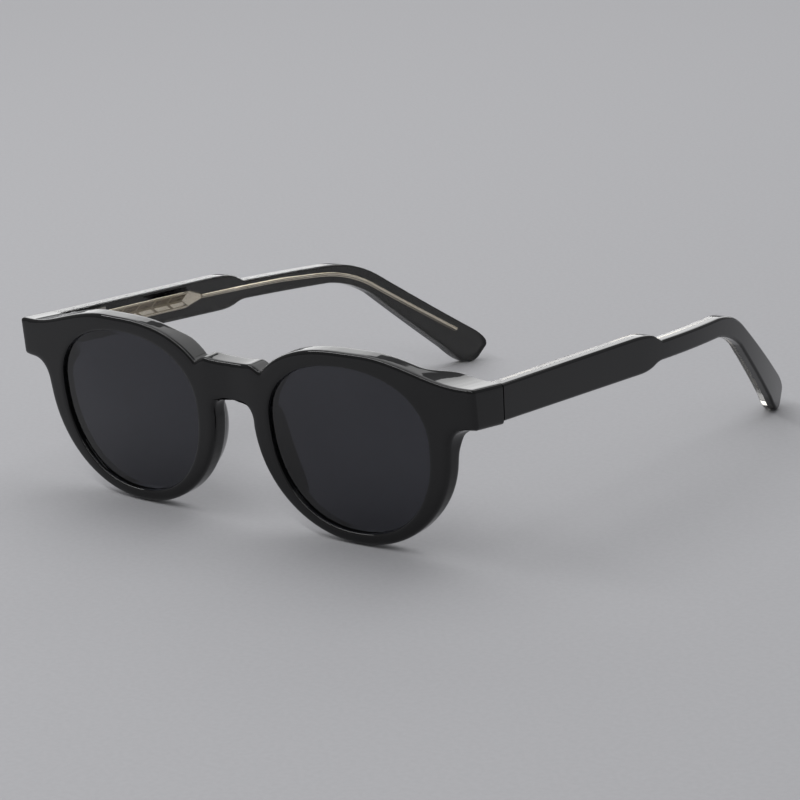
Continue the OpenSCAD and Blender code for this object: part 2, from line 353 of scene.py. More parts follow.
def clearAcetate():
    # cast clear sheet, bonded and polished: nearly colourless and a little warm
    material, tree, shader, place = newMaterial("polished_clear_acetate")
    look = clearLook
    flow = addNoise(tree, place, look["flow"], 2)
    setColour(tree, shader, flow, look["tint"], look["shade"])
    setRough(tree, shader, flow, look["smooth"], look["rubbed"])
    setBump(tree, shader, flow, look["ripple"], look["rippleDepth"])
    shader.inputs["IOR"].default_value = look["ior"]
    shader.inputs["Transmission Weight"].default_value = 1
    return material


lensLook = {
    "smoke": "#32333A",
    "edge": "#2D2E35",
    "ior": 1.5,
    "drift": 30,  # mm over which the tint drifts
    "smooth": 0.015,
    "rubbed": 0.03,
}


def smokeLens():
    # cast resin, dyed through and hard coated: dark blue-grey, with a clean reflection
    material, tree, shader, place = newMaterial("dyed_smoke_lens")
    look = lensLook
    drift = addNoise(tree, place, look["drift"], 1)
    setColour(tree, shader, drift, look["smoke"], look["edge"])
    setRough(tree, shader, drift, look["smooth"], look["rubbed"])
    shader.inputs["IOR"].default_value = look["ior"]
    shader.inputs["Transmission Weight"].default_value = 1
    return material


metalLook = {
    "stretch": 0.06,  # how much slower the grain changes along y than across it
    "smoothest": 0.8,  # shares of a metal's roughness, in and between its lines
    "roughest": 1.3,
    "lineDepth": 0.01,
}


def metal(name, light, dark, rough, grain, groove=0.2):
    # drawn or milled metal: fine lines run along y, with a spacing of grain in millimetres
    material, tree, shader, place = newMaterial(name)
    look = metalLook
    stretched = addNode(tree, "ShaderNodeMapping", {"Scale": (1, look["stretch"], 1)}, {"Vector": place})
    lines = addNoise(tree, stretched.outputs["Vector"], grain, 3)
    setColour(tree, shader, lines, dark, light)
    setRough(tree, shader, lines, rough * look["smoothest"], rough * look["roughest"])
    setBump(tree, shader, lines, groove, look["lineDepth"])
    shader.inputs["Metallic"].default_value = 1
    return material


blackSheet = blackAcetate()
clearSheet = clearAcetate()
smokeSheet = smokeLens()
champagneCore = metal("champagne_plated_core", "#F7EFE1", "#EFE5D4", rough=0.16, grain=0.5, groove=0.03)
# a darker copy of the core's metal, with painted shade, for the upper row of tiles
shadedFacet = metal("champagne_painted_shade_facet", "#A0968A", "#90867A", rough=0.3, grain=0.3, groove=0.05)
# the ground between the tiles: rougher, and darker than the core with painted shade for the grooves
grooveShadeGround = metal("champagne_painted_groove_shade", "#C6BBAA", "#B2A695", rough=0.38, grain=0.3, groove=0.05)
nickelHinge = metal("milled_nickel_silver_hinge", "#C4C0B8", "#A5A199", rough=0.3, grain=0.25)
steelScrew = metal("turned_steel_screw", "#CFCFCE", "#AFAFB0", rough=0.22, grain=0.15)
print("materials made")


# Front: rims, bridge and end pieces in one piece

edges = {
    "frontRound": 0.9,  # radius of the polished edge round the front's face
    "backRound": 1.1,
    "lensRound": 0.4,
    "frontPillow": 0.22,  # how far the face falls away towards its edges, before the round
    "pillowWidth": 2.2,
    "backPillow": 0.25,
    "backPillowWidth": 2.4,
    "lensPillow": 0.12,
    "lensPillowWidth": 1.4,
    "backLensRound": 0.5,
    "backLensPillow": 0.1,
    "lip": 1,  # depth of the groove's front side
    "grooveWidth": 2.1,
    "groove": 0.6,
    "bridgeHollow": 0.35,  # how far the bridge's face lies back in its middle
    "hollowWidth": 9.5,
    "sideRound": 1.9,  # radius of the rims' outer back edges
    "sideFrom": 42,  # across from the middle, and up, between which that radius grows or goes
    "sideTo": 56,
    "sideLow": 24,
    "sideHigh": 29,
    "endRound": 0.22,  # radius of the end pieces' back edges, where the temples meet them
    "endFrom": 58,
    "endTo": 64,
    "endLow": 26,
    "endHigh": 30,
}

endPiece = {
    "rimBack": 1.4,  # where the rim's back lies, as a y in the part's own frame
    "backFrom": 54.1,  # across from the middle, where the back leaves the rim's
    "backTo": 62,
    "lowFrom": 30,  # heights between which it grows thick
    "lowTo": 33,
    "topFrom": 42.6,  # heights between which it grows thin again
    "topTo": 45.5,
    "levelFrom": 55,  # across from the middle, where it starts to turn level with the temple
    "levelTo": 65,
    "levelDrop": 0.144,  # mm down for each mm of depth
    "flareFrom": 66,
}

frontMesh = {
    "spacing": 0.5,  # mm between points along the outline
    "fineSpacing": 0.3,  # the same where distances to it are measured
    "nearLens": [0, 0.06, 0.17, 0.3, 0.48, 0.9],  # mm from the opening to the rows beside it
    "nearEdge": [2, 1.4, 0.95, 0.68, 0.45, 0.26, 0.11, 0.03, 0],  # mm from the outline
    "nearMiddle": [0.03, 0.11, 0.26, 0.45, 0.68, 0.95, 1.4, 2.1, 3.2],  # mm from the middle line's two ends
    "halfway": 35.5,  # height of the one point between those
    "between": 14,  # rows between the close ones
    "wall": 3,  # rows up the outer wall
    "pole": 33,  # height of the point from which outline and opening are matched
    "evening": 585,  # rounds of smoothing that spread the points of the opening
    "steeper": radians(18),  # turns the lines at the bridge, so that none crosses the creases beside it
    "turnLow": 24,  # heights between which that turn grows
    "turnHigh": 40,
    "reachLow": 31,  # heights between which it grows wider
    "reachHigh": 36,
    "reachFull": 9,  # across from the middle, at the top: where the turn starts to fade
    "reachBelow": 6,  # where it has faded, along the underside
    "reachMore": 17,  # how much further that is along the top
    "slantLens": 0.55,  # slanting lines are stretched no more than these shares allow
    "slantEdge": 0.4,
}


def rimPoint(degrees):
    return lensMiddle + ovalPoint(radians(degrees), rimOval)


def shoulderLine(count=14):
    # the top's soft fall from the rim to the end piece
    start = front["lensX"] + front["shoulderFrom"]
    fall = front["height"] - front["endTop"]
    shares = [i / count for i in range(count + 1)]
    return [Vector((start + front["shoulderRun"] * t, front["height"] - fall * (1 - cos(pi * t)) / 2))
            for t in shares]


def halfOutline():
    # the outline of the front's half, from the top of the bridge's middle round to its underside
    top, low = front["bridgeTop"], front["bridgeLow"]
    endOut, endTop, endLow = front["endX"] + front["flare"], front["endTop"], front["endLow"]
    parts = [
        [Vector((0, top))],
        softCorner((0.4, top), (4.6, top), (6.6, top + 0.36)),
        softCorner((6.6, top + 0.36), (7.4, top + 0.52), (8.1, top + 0.22), 6),
        softCorner((9.9, top - 0.7), (10.36, top - 1), (10.74, top - 0.67), 5),
        [rimPoint(degrees) for degrees in range(144, 89, -4)],
        shoulderLine(),
        softCorner((endOut - 0.9, endTop), (endOut, endTop), (endOut, endTop - 0.9), 5),
        softCorner((endOut, endLow + 0.5), (endOut, endLow - 0.5), (endOut - 1, endLow - 0.55), 5),
        softCorner((endOut - 3.4, endLow - 0.75), (endOut - 7.6, endLow - 1), (64.3, 27.8), 10),
        [rimPoint(degrees) for degrees in range(-8, -177, -4)],
        softCorner((6.3, 26.4), (6.2, low), (2, low), 10),
        [Vector((0, low))],
    ]
    return [point for part in parts for point in part]


def roundedFall(distance, radius, pillow, width):
    # how far a face has fallen back at a distance from its edge: a round, then a long soft pillow
    fall = pillow * (1 - min(1, distance / width)) ** 2
    if distance < radius:
        fall += radius - sqrt(max(0, radius ** 2 - (radius - distance) ** 2))
    return fall


def nearestDistances(points, line):
    # from each point to a line of points
    points = np.array(points)
    best = np.full(len(points), 1e9)
    for a, b in zip(line, line[1:]):
        a, run = np.array(a), np.array(b) - np.array(a)
        t = np.clip((points - a) @ run / (run @ run), 0, 1)
        best = np.minimum(best, np.linalg.norm(points - a - t[:, None] * run, axis=1))
    return best


def endBack(x):
    # the end piece's back, seen from above: an S from the rim's back to the joint's plane
    t = min(1, max(0, (x - endPiece["backFrom"]) / (endPiece["backTo"] - endPiece["backFrom"])))
    return endPiece["rimBack"] + (front["jointY"] - endPiece["rimBack"]) * (1 - cos(pi * t)) / 2


def backDepth(x, height):
    # how thick the front is at a place: the sheet, or more at the end pieces
    lean = front["lean"]
    atEnd = (endBack(x) - front["faceY"] + height * sin(lean)) / cos(lean) - sweptBack(x)
    share = (softStep(endPiece["lowFrom"], endPiece["lowTo"], height)
             * (1 - softStep(endPiece["topFrom"], endPiece["topTo"], height)))
    return front["thick"] + share * max(0, atEnd - front["thick"])


def frontPoint(point, depth):
    # the end pieces run level into the temples instead of along the leaning front
    place = inFront(point.x, point.y, depth)
    level = softStep(endPiece["levelFrom"], endPiece["levelTo"], point.x)
    place.z -= endPiece["levelDrop"] * depth * level * mm
    fullDepth = front["jointY"] - front["faceY"]
    atEnd = softStep(endPiece["flareFrom"], front["endX"] + front["flare"], point.x)
    place.x -= front["flare"] * max(0, 1 - depth / fullDepth) * atEnd * mm
    return place


def frontFall(x, toEdge, toLens):
    # how far the front face lies back, at distances from the outline and from the opening
    hollow = edges["bridgeHollow"] * (1 - softStep(0, edges["hollowWidth"], x))
    return (hollow + roundedFall(toEdge, edges["frontRound"], edges["frontPillow"], edges["pillowWidth"])
            + roundedFall(toLens, edges["lensRound"], edges["lensPillow"], edges["lensPillowWidth"]))


def backFall(x, height, toEdge, toLens):
    # how far the back lies in: rounder at the rims' outer sides, and nearly sharp at the end pieces
    beside = softStep(edges["sideFrom"], edges["sideTo"], x)
    atSide = beside * (1 - softStep(edges["sideLow"], edges["sideHigh"], height))
    atEnd = softStep(edges["endFrom"], edges["endTo"], x)
    radius = edges["backRound"] + (edges["sideRound"] - edges["backRound"]) * atSide
    radius += (edges["endRound"] - radius) * atEnd * softStep(edges["endLow"], edges["endHigh"], height)
    return (roundedFall(toEdge, radius, edges["backPillow"] * (1 - atEnd), edges["backPillowWidth"])
            + roundedFall(toLens, edges["backLensRound"], edges["backLensPillow"], edges["lensPillowWidth"]))


def middleLine():
    # up the middle plane, from the bridge's underside to its top, with close points near both
    low, top, near = front["bridgeLow"], front["bridgeTop"], frontMesh["nearMiddle"]
    heights = [low + s for s in near] + [frontMesh["halfway"]] + [top - s for s in reversed(near)]
    return [Vector((0, height)) for height in heights]


def nearBridge(point):
    # 1 at the top of the bridge, falling to 0 along the rim's top, and sooner along the underside
    reach = softStep(frontMesh["reachLow"], frontMesh["reachHigh"], point.y)
    fadeFrom = frontMesh["reachFull"] * reach
    fadeTo = frontMesh["reachBelow"] + frontMesh["reachMore"] * reach
    raised = softStep(frontMesh["turnLow"], frontMesh["turnHigh"], point.y)
    return (1 - softStep(fadeFrom, fadeTo, point.x)) * raised


def directions(points):
    # from the pole to each point, in radians and without jumps of a whole turn
    return np.unwrap([atan2(point.y - frontMesh["pole"], point.x - front["lensX"]) for point in points])


def evened(angles):
    # spreads the angles of a closed line, which fall by one whole turn
    for _ in range(frontMesh["evening"]):
        before = np.roll(angles, 1)
        before[0] += 2 * pi
        after = np.roll(angles, -1)
        after[-1] -= 2 * pi
        angles = angles / 2 + before / 4 + after / 4
    return angles


def matchedAngles(ring, outlineCount, dense):
    # each point of the ring is matched to a point of the opening in nearly the same direction
    turned = evened(directions(ring))
    denseTurned = directions(dense)
    lensAngles = -np.radians(np.arange(len(dense)) / 2)
    wrapped = (turned - denseTurned[0]) % (-2 * pi) + denseTurned[0]
    matched = np.interp(-wrapped, -denseTurned, lensAngles)
    matched = np.unwrap(matched + frontMesh["steeper"] * np.array([nearBridge(point) for point in ring]))
    # the lines to the middle plane spread evenly between those to its two ends
    last = outlineCount - 1
    matched[last:] = np.linspace(matched[last], matched[0] - 2 * pi, len(ring) - last + 1)[:-1]
    return matched


def straightOut(before, after):
    # the direction that stands square on a line between two points
    run = after - before
    return Vector((run.y, -run.x)).normalized()


def ringNormals(ring, outlineCount):
    # square on the half's outline, and upright where it meets the middle plane
    normals = [straightOut(ring[i - 1], ring[(i + 1) % len(ring)]) for i in range(len(ring))]
    normals[0] = Vector((0, 1))
    normals[outlineCount - 1] = Vector((0, 1))
    return normals


def acrossFace(start, end, slantIn, slantOut):
    # points across the face from the opening to the outline, close together near both
    line = end - start
    nearLens, nearEdge, between = frontMesh["nearLens"], frontMesh["nearEdge"], frontMesh["between"]
    first = [s / slantIn for s in nearLens]
    final = [line.length - min(s / slantOut, 0.5 * line.length * s / nearEdge[0]) for s in nearEdge]
    gap = final[0] - first[-1]
    middle = [first[-1] + gap * (k + 1) / (between + 1) for k in range(between)]
    return [start + line / line.length * s for s in first + middle + final]


def addOtherHalf(piece):
    # the half's faces on the middle plane go, then the other half is added
    mesh = inEditMode(piece)
    bpy.ops.mesh.select_mode(type="FACE")
    bpy.ops.mesh.select_all(action="DESELECT")
    for face in mesh.faces:
        if all(abs(vertex.co.x) < inPlane for vertex in face.verts):
            face.select = True
    bpy.ops.mesh.delete(type="FACE")
    leaveEditMode()
    applyModifier(piece, "MIRROR", merge_threshold=samePlace)
    closeMesh(piece)


def buildFront():
    outline = halfOutline()
    openLine = evenly(outline, frontMesh["spacing"])
    ring = openLine + middleLine()
    count = len(ring)
    dense = [grownLens(-radians(k / 2), 0) for k in range(720)]
    matched = matchedAngles(ring, len(openLine), dense)
    inside = [grownLens(angle, 0) for angle in matched]
    outward = [straightOut(grownLens(angle - 0.01, 0), grownLens(angle + 0.01, 0)) for angle in matched]
    normals = ringNormals(ring, len(openLine))

    # rows across the face, by distance from the opening and from the outline
    across = []
    for i in range(count):
        line = ring[i] - inside[i]
        way = line / line.length
        slantIn = max(frontMesh["slantLens"], abs(way.dot(outward[i])))
        slantOut = 1
        if i < len(openLine):
            slantOut = max(frontMesh["slantEdge"], abs(way.dot(normals[i])))
        across.append(acrossFace(inside[i], ring[i], slantIn, slantOut))
    faceRows = len(across[0])
    flat = [tuple(point) for row in across for point in row]
    outlinePoints = [tuple(point) for point in evenly(outline, frontMesh["fineSpacing"])]
    lensPoints = [tuple(point) for point in dense + dense[:1]]
    toEdge = nearestDistances(flat, outlinePoints).reshape(count, faceRows)
    toLens = nearestDistances(flat, lensPoints).reshape(count, faceRows)

    def faceDepth(i, k):
        return frontFall(across[i][k].x, toEdge[i, k], toLens[i, k])

    def rearDepth(i, k):
        x, height = across[i][k]
        return backDepth(x, height) - backFall(x, height, toEdge[i, k], toLens[i, k])

    def sectionPoint(i, row):
        # the section all round: back face, outer wall, front face, then the opening's wall with its groove
        if row < faceRows:
            return frontPoint(across[i][row], rearDepth(i, row))
        row -= faceRows
        if row < frontMesh["wall"]:
            back, face = rearDepth(i, faceRows - 1), faceDepth(i, faceRows - 1)
            return frontPoint(across[i][-1], back + (face - back) * (row + 1) / (frontMesh["wall"] + 1))
        row -= frontMesh["wall"]
        if row < faceRows:
            k = faceRows - 1 - row
            return frontPoint(across[i][k], faceDepth(i, k))
        row -= faceRows
        groove = inside[i] + outward[i] * edges["groove"]
        near, far = edges["lip"], edges["lip"] + edges["grooveWidth"]
        return frontPoint(*[(inside[i], near), (groove, near), (groove, far), (inside[i], far)][row])

    rowCount = 2 * faceRows + frontMesh["wall"] + 4
    piece = gridPiece("front_frame_acetate", count, rowCount,
                      lambda column, row: sectionPoint(column % count, row % rowCount))
    closeMesh(piece)
    addOtherHalf(piece)
    smoothShade(piece)
    return piece


frontPiece = buildFront()
setMaterial(frontPiece, blackSheet)
finishPiece(frontPiece, "front", "black_acetate", "front_frame")
print("front made:", len(frontPiece.data.polygons), "faces")


# Lenses

lens = {
    "thick": 2,
    "set": 1.05,  # depth of the front side at the rim
    "grow": 0.5,  # how far the edge stands in the groove
    "bulge": 0.6,
    "bevel": 0.12,
    "bevelFrom": 0.994,  # share of the radius at which the edge's small bevel starts
    "around": 144,
    "rings": 14,
}


def lensPoint(column, row):
    # rings from the middle of the front side out to the edge and back to the middle of the back
    share = [k / lens["rings"] for k in range(lens["rings"])]
    rings = share + [lens["bevelFrom"], 1, 1, lens["bevelFrom"]] + share[::-1]
    atBack = row >= len(share) + 2
    size = rings[row]
    point = lensMiddle + (grownLens(-2 * pi * column / lens["around"], lens["grow"]) - lensMiddle) * size
    depth = lens["set"] - lens["bulge"] * (1 - size ** 2)
    if atBack:
        depth += lens["thick"]
    if size == 1:
        depth += -lens["bevel"] if atBack else lens["bevel"]
    return inFront(point.x, point.y, depth)


def buildLens():
    piece = gridPiece("lens_left_smoke", lens["around"], 2 * lens["rings"] + 3, lensPoint)
    closeMesh(piece)
    smoothShade(piece, angle=50)
    return piece


lensLeft = buildLens()
lensRight = mirroredCopy(lensLeft, "lens_right_smoke")
smoothShade(lensRight, angle=50)
setMaterial(lensLeft, smokeSheet)
setMaterial(lensRight, smokeSheet)
finishPiece(lensLeft, "front", "smoke_lens", "lens_left")
finishPiece(lensRight, "front", "smoke_lens", "lens_right")
print("lenses made")


# Nose pads

pad = {
    "length": 23,
    "height": 3.9,
    "angle": 20,  # degrees below the middle of the lens
    "middle": 25,  # radius at which the length is measured
    "fromLens": 0.4,
    "fromOutline": 0.12,
    "crest": 1.2,  # from the pad's lens side to its crest
    "slope": 1.4,  # from the pad's outer side to where the nose's side bends down
    "slopeHeight": 0.8,  # the height there, as a share
    "tuck": 0.2,  # how far its outer edge runs under the rim's rounded edge
    "roundness": 2.2,
    "sunk": 0.4,  # how far its edges run into the rim's back
    "columns": 60,
}


def ovalRadius(angle, oval):
    # how far an oval's edge lies from its middle in one direction
    halfWidth, up, down, upPower, downPower = oval
    height, power = (up, upPower) if sin(angle) > 0 else (down, downPower)
    return (abs(cos(angle) / halfWidth) ** power + abs(sin(angle) / height) ** power) ** (-1 / power)


def padSection(inner, outer, height):
    # from the lens's side over the crest to the nose's side, as radius and height over the rim's back
    crest = (inner + pad["crest"], height)
    bend = (outer - pad["slope"], pad["slopeHeight"] * height)
    foot = (outer, -edges["backRound"] - pad["tuck"])
    lensSide = softCorner((inner, height / 2), (inner, height), crest, 6)
    return [Vector((inner, -pad["sunk"]))] + lensSide + softCorner(crest, bend, foot, 14)[1:]


def padPoint(column, row):
    along = sin(pi * (column / pad["columns"] - 0.5))
    ends = (1 - abs(along) ** pad["roundness"]) ** (1 / pad["roundness"])
    turn = pi + radians(pad["angle"]) + along * pad["length"] / 2 / pad["middle"]
    inner = ovalRadius(turn, lensOval) + pad["fromLens"]
    outer = ovalRadius(turn, rimOval) - pad["fromOutline"]
    radius, rise = padSection(inner, outer, pad["height"] * ends)[row]
    depth = front["thick"] + rise - pad["sunk"] * (1 - ends)
    return inFront(front["lensX"] + radius * cos(turn), front["lensZ"] + radius * sin(turn), depth)


def buildPad():
    rows = len(padSection(0, 5, 1)) - 1
    piece = gridPiece("nose_pad_left_acetate", pad["columns"], rows, padPoint)
    # a flat underside closes it against the rim's back
    mesh = inEditMode(piece)
    selectEdges(mesh, lambda edge: edge.is_boundary)
    bpy.ops.mesh.edge_face_add()
    leaveEditMode()
    closeMesh(piece)
    smoothShade(piece, angle=60)
    return piece


padLeft = buildPad()
padRight = mirroredCopy(padLeft, "nose_pad_right_acetate")
smoothShade(padRight, angle=60)
setMaterial(padLeft, blackSheet)
setMaterial(padRight, blackSheet)
finishPiece(padLeft, "front", "black_acetate", "nose_pad_left")
finishPiece(padRight, "front", "black_acetate", "nose_pad_right")
print("nose pads made")


# Temples: a black outer layer and a clear inner one, bonded, on a metal core

temple = {
    "length": 144.8,
    "startY": 8.6,
    "jointZ": 37.218,  # the middle of the joint's height
    "jointTop": 41.6,
    "jointLow": 32.784,
    "thick": 4.2,
    "outer": 2.2,  # the black layer's share of the thickness
    "paddle": 9.6,
    "wrist": 5,
    "outerX": 72.8,
    "toeIn": 0.04,
    "bowStart": 65.94,
    "bow": 15.2,
    "outerRound": 0.8,  # radius of the polished edge of the black face
    "innerRound": 0.7,
    "jointRound": 0.12,  # bevel round the end that meets the front
    "bond": 0.02,  # the two layers run into each other by this much, as a bonded joint shows
    "stations": 44,
}


def onTemple(along, up):
    # a place seen from the side, as shares of the temple's length and of the joint's height
    return Vector((temple["startY"] + along * temple["length"], up * temple["jointZ"]))


def bowed(y):
    # the share of the bow's length that lies before a place, and that length
    run = temple["startY"] + temple["length"] - temple["bowStart"]
    return max(0, y - temple["bowStart"]) / run, run


def templeX(y, depth):
    # across from the middle plane to a depth under the temple's outer face
    share, run = bowed(y)
    face = temple["outerX"] - temple["toeIn"] * (y - temple["startY"]) - temple["bow"] * share ** 2
    slope = temple["toeIn"] + 2 * temple["bow"] * share / run
    return face - depth * sqrt(1 + slope ** 2)


def templeOutline():
    # seen from the side: wide in front, slender behind, bent down at the ear, with a wider tip
    paddle, wrist = onTemple(0.37, 0.95), onTemple(0.448, 0.926)
    half, thin = temple["paddle"] / 2, temple["wrist"] / 2

    def at(middle, y, z):
        return middle + Vector((y, z))

    parts = [
        [Vector((temple["startY"], temple["jointTop"]))],
        softCorner(at(paddle, 0, half - 0.1), at(paddle, 6, half - 0.3), at(paddle, 8.6, half - 1.3), 10),
        softCorner(at(paddle, 8.6, half - 1.3), at(wrist, -0.6, thin + 0.6), at(wrist, 0.8, thin), 5)[1:],
        softCorner(onTemple(0.655, 0.957), onTemple(0.722, 0.94), onTemple(0.772, 0.802), 16),
        softCorner(onTemple(0.958, 0.293), onTemple(1.009, 0.165), onTemple(0.996, 0.1), 14),
        softCorner(onTemple(0.984, 0.045), onTemple(0.975, 0), onTemple(0.962, 0), 6),
        softCorner(onTemple(0.962, 0), onTemple(0.948, 0), onTemple(0.915, 0.135), 10)[1:],
        softCorner(onTemple(0.755, 0.672), onTemple(0.708, 0.795), onTemple(0.655, 0.822), 14),
        softCorner(at(wrist, 0.8, -thin), at(wrist, -1.2, -thin), at(paddle, 8.6, 0.8 - half), 6),
        softCorner(at(paddle, 8.6, 0.8 - half), at(paddle, 6.4, -half), at(paddle, 3, -half), 8)[1:],
        [Vector((temple["startY"], temple["jointLow"]))],
    ]
    return [point for part in parts for point in part]


def flatShape(name, outline):
    # a circle's points carried to an outline drawn from the side, in millimetres of depth, y and z
    bpy.ops.object.select_all(action="DESELECT")
    bpy.ops.mesh.primitive_circle_add(vertices=len(outline), radius=1, fill_type="NGON")
    piece = nameNew(name)
    for vertex, point in zip(piece.data.vertices, outline):
        vertex.co = (0, point.x * mm, point.y * mm)
    return piece


def extrudeAll(piece, thick):
    inEditMode(piece)
    bpy.ops.mesh.select_all(action="SELECT")
    bpy.ops.mesh.extrude_region_move(TRANSFORM_OT_translate={"value": (thick * mm, 0, 0)})
    bpy.ops.mesh.select_all(action="SELECT")
    bpy.ops.mesh.normals_make_consistent(inside=False)
    leaveEditMode()


def bevelEdges(piece, radius, wanted, segments=5):
    mesh = inEditMode(piece)
    selectEdges(mesh, wanted)
    bpy.ops.mesh.bevel(offset=radius * mm, offset_type="OFFSET", segments=segments, profile=0.5,
                       clamp_overlap=False, affect="EDGES")
    leaveEditMode()


def bendAlong(piece, firstDepth):
    # cuts across the temple at even distances, then bends it to the temple's curve
    inEditMode(piece)
    for k in range(1, temple["stations"]):
        y = (temple["startY"] + temple["length"] * k / temple["stations"]) * mm
        bpy.ops.mesh.select_all(action="SELECT")
        bpy.ops.mesh.bisect(plane_co=(0, y, 0), plane_no=(0, 1, 0))
    leaveEditMode()
    for vertex in piece.data.vertices:
        y = vertex.co.y / mm
        depth = firstDepth + vertex.co.x / mm
        vertex.co = Vector((templeX(y, depth), y - front["middleY"], vertex.co.z / mm)) * mm


def templeLayer(name, near, far, roundNear, radius):
    # one layer between two depths under the outer face, with a polished round on its free side
    piece = flatShape(name, templeOutline())
    extrudeAll(piece, far - near)
    free = 0 if roundNear else (far - near) * mm
    start = temple["startY"] * mm

    def atJoint(edge):
        return all(v.co.y < start + samePlace for v in edge.verts)

    def onFreeSide(edge):
        return all(abs(v.co.x - free) < inPlane for v in edge.verts) and not atJoint(edge)

    bevelEdges(piece, radius, onFreeSide)
    bevelEdges(piece, temple["jointRound"], lambda edge: atJoint(edge) and edge.calc_length() > 0.2 * mm, 2)
    bendAlong(piece, near)
    closeMesh(piece)
    return piece


def buildTemples():
    black, full = temple["outer"], temple["thick"]
    bonded = black + temple["bond"]
    outer = templeLayer("temple_outer_layer_left_acetate", 0, bonded, True, temple["outerRound"])
    inner = templeLayer("temple_inner_layer_left_clear", black, full, False, temple["innerRound"])
    made = {("outer", "left"): outer, ("inner", "left"): inner}
    made["outer", "right"] = mirroredCopy(outer, "temple_outer_layer_right_acetate")
    made["inner", "right"] = mirroredCopy(inner, "temple_inner_layer_right_clear")
    for piece in made.values():
        smoothShade(piece)
    return made


for (layer, side), piece in buildTemples().items():
    slot, material = ("black_acetate", blackSheet) if layer == "outer" else ("clear_acetate", clearSheet)
    setMaterial(piece, material)
    finishPiece(piece, side + "_temple", slot, "temple_" + layer + "_layer_" + side)
print("temples made")


# Metal cores: a plate with a herringbone relief, a point, and a round wire

core = {
    "height": 4.4,
    "plateDepth": 2.25,  # the plate's back, under the temple's outer face
    "plateThick": 0.55,
    "bevel": 0.4,
    "pointHalf": 0.35,  # half the height of the plate's point
    "shoulderSlant": 2,  # how much sooner the plate narrows along its lower side
    "tile": 5.6,  # mm along the plate from one chevron to the next
    "slant": 2.2,  # how far a chevron's arms run back
    "gap": 0.26,  # from a tile's edge to the middle of the groove beside it
    "relief": 0.36,
    "ridge": 0.22,  # how much lower the tiles lie along their outer ends than along the middle line
    "ground": 0.04,  # height of the ground in which the tiles stand
    "tileRound": 0.07,
    "patternStart": 1.2,  # from the plate's start to the pattern
    "patternEnd": 0.6,
    "patternSide": 0.1,  # from the plate's bevel to the pattern
    "wire": 0.62,  # radius
    "wireDepth": 2.9,
    "wireTip": 0.3,
    "wireStep": 1.6,
    "wireSides": 16,
}


def plateMarks():
    # on the plate's middle line: where it starts, where its point starts, and where that ends
    return onTemple(0.055, 0.993), onTemple(0.318, 0.963), onTemple(0.357, 0.958)


def plateOutline():
    half = core["height"] / 2
    start, shoulder, point = plateMarks()
    return [
        start + Vector((0, half)),
        shoulder + Vector((0, half)),
        point + Vector((0, core["pointHalf"])),
        point - Vector((0, core["pointHalf"])),
        shoulder - Vector((core["shoulderSlant"], half)),
        start - Vector((0, half)),
    ]


def buildPlate():
    piece = flatShape("temple_core_left_metal", plateOutline())
    extrudeAll(piece, core["plateThick"])
    free = core["plateThick"] * mm
    bevelEdges(piece, core["bevel"], lambda edge: all(abs(v.co.x - free) < inPlane for v in edge.verts), 3)
    bendAlong(piece, core["plateDepth"])
    return piece


def patternColumns():
    # how many tiles the plate has room for
    start, shoulder, point = plateMarks()
    room = shoulder.x - start.x - core["patternStart"] - core["patternEnd"] - core["slant"]
    return int(room / core["tile"])


def patternPoint(column, row, ridge):
    # a corner of the pattern: row 0 runs along the plate's lower side, 1 along its middle, 2 along its top
    start, shoulder, point = plateMarks()
    half = core["height"] / 2 - core["bevel"] - core["patternSide"]
    y = start.x + core["patternStart"] + column * core["tile"] + (core["slant"] if row != 1 else 0)
    share = (y - start.x) / (shoulder.x - start.x)
    z = start.y + (shoulder.y - start.y) * share + (row - 1) * half
    low = 0 if row == 1 else ridge
    return Vector((core["plateThick"] - core["ground"] / 2 - low, y, z)) * mm


def raisePattern(piece, height):
    # gives a flat pattern its height and stays in edit mode, with the new tops selected
    inEditMode(piece)
    bpy.ops.mesh.select_all(action="SELECT")
    bpy.ops.mesh.extrude_region_move(TRANSFORM_OT_translate={"value": (height * mm, 0, 0)})


def buildGround():
    piece = gridPiece("core_ground", patternColumns(), 2, lambda column, row: patternPoint(column, row, 0))
    raisePattern(piece, core["ground"])
    leaveEditMode()
    bendAlong(piece, core["plateDepth"])
    setMaterial(piece, grooveShadeGround)
    return piece


def buildTiles(name, lowRow, material):
    # one row of slanted tiles, each set proud of the plate; with the other row they meet in chevrons
    piece = gridPiece(name, patternColumns(), 1,
                      lambda column, row: patternPoint(column, row + lowRow, core["ridge"]))
    inEditMode(piece)
    bpy.ops.mesh.select_all(action="SELECT")
    bpy.ops.mesh.select_mode(type="FACE")
    bpy.ops.mesh.inset(thickness=core["gap"] * mm, use_individual=True)
    bpy.ops.mesh.select_all(action="INVERT")
    bpy.ops.mesh.delete(type="FACE")
    leaveEditMode()
    raisePattern(piece, core["relief"])
    # the tops' edges are broken
    bpy.ops.mesh.select_mode(type="EDGE")
    bpy.ops.mesh.bevel(offset=core["tileRound"] * mm, segments=2, affect="EDGES")
    leaveEditMode()
    bendAlong(piece, core["plateDepth"])
    setMaterial(piece, material)
    return piece


def wireLine():
    points = [onTemple(0.345, 0.96), onTemple(0.55, 0.925)]
    points += softCorner(onTemple(0.64, 0.895), onTemple(0.7, 0.874), onTemple(0.75, 0.76), 14)
    points += [onTemple(0.938, 0.271)]
    return evenly(points, core["wireStep"])


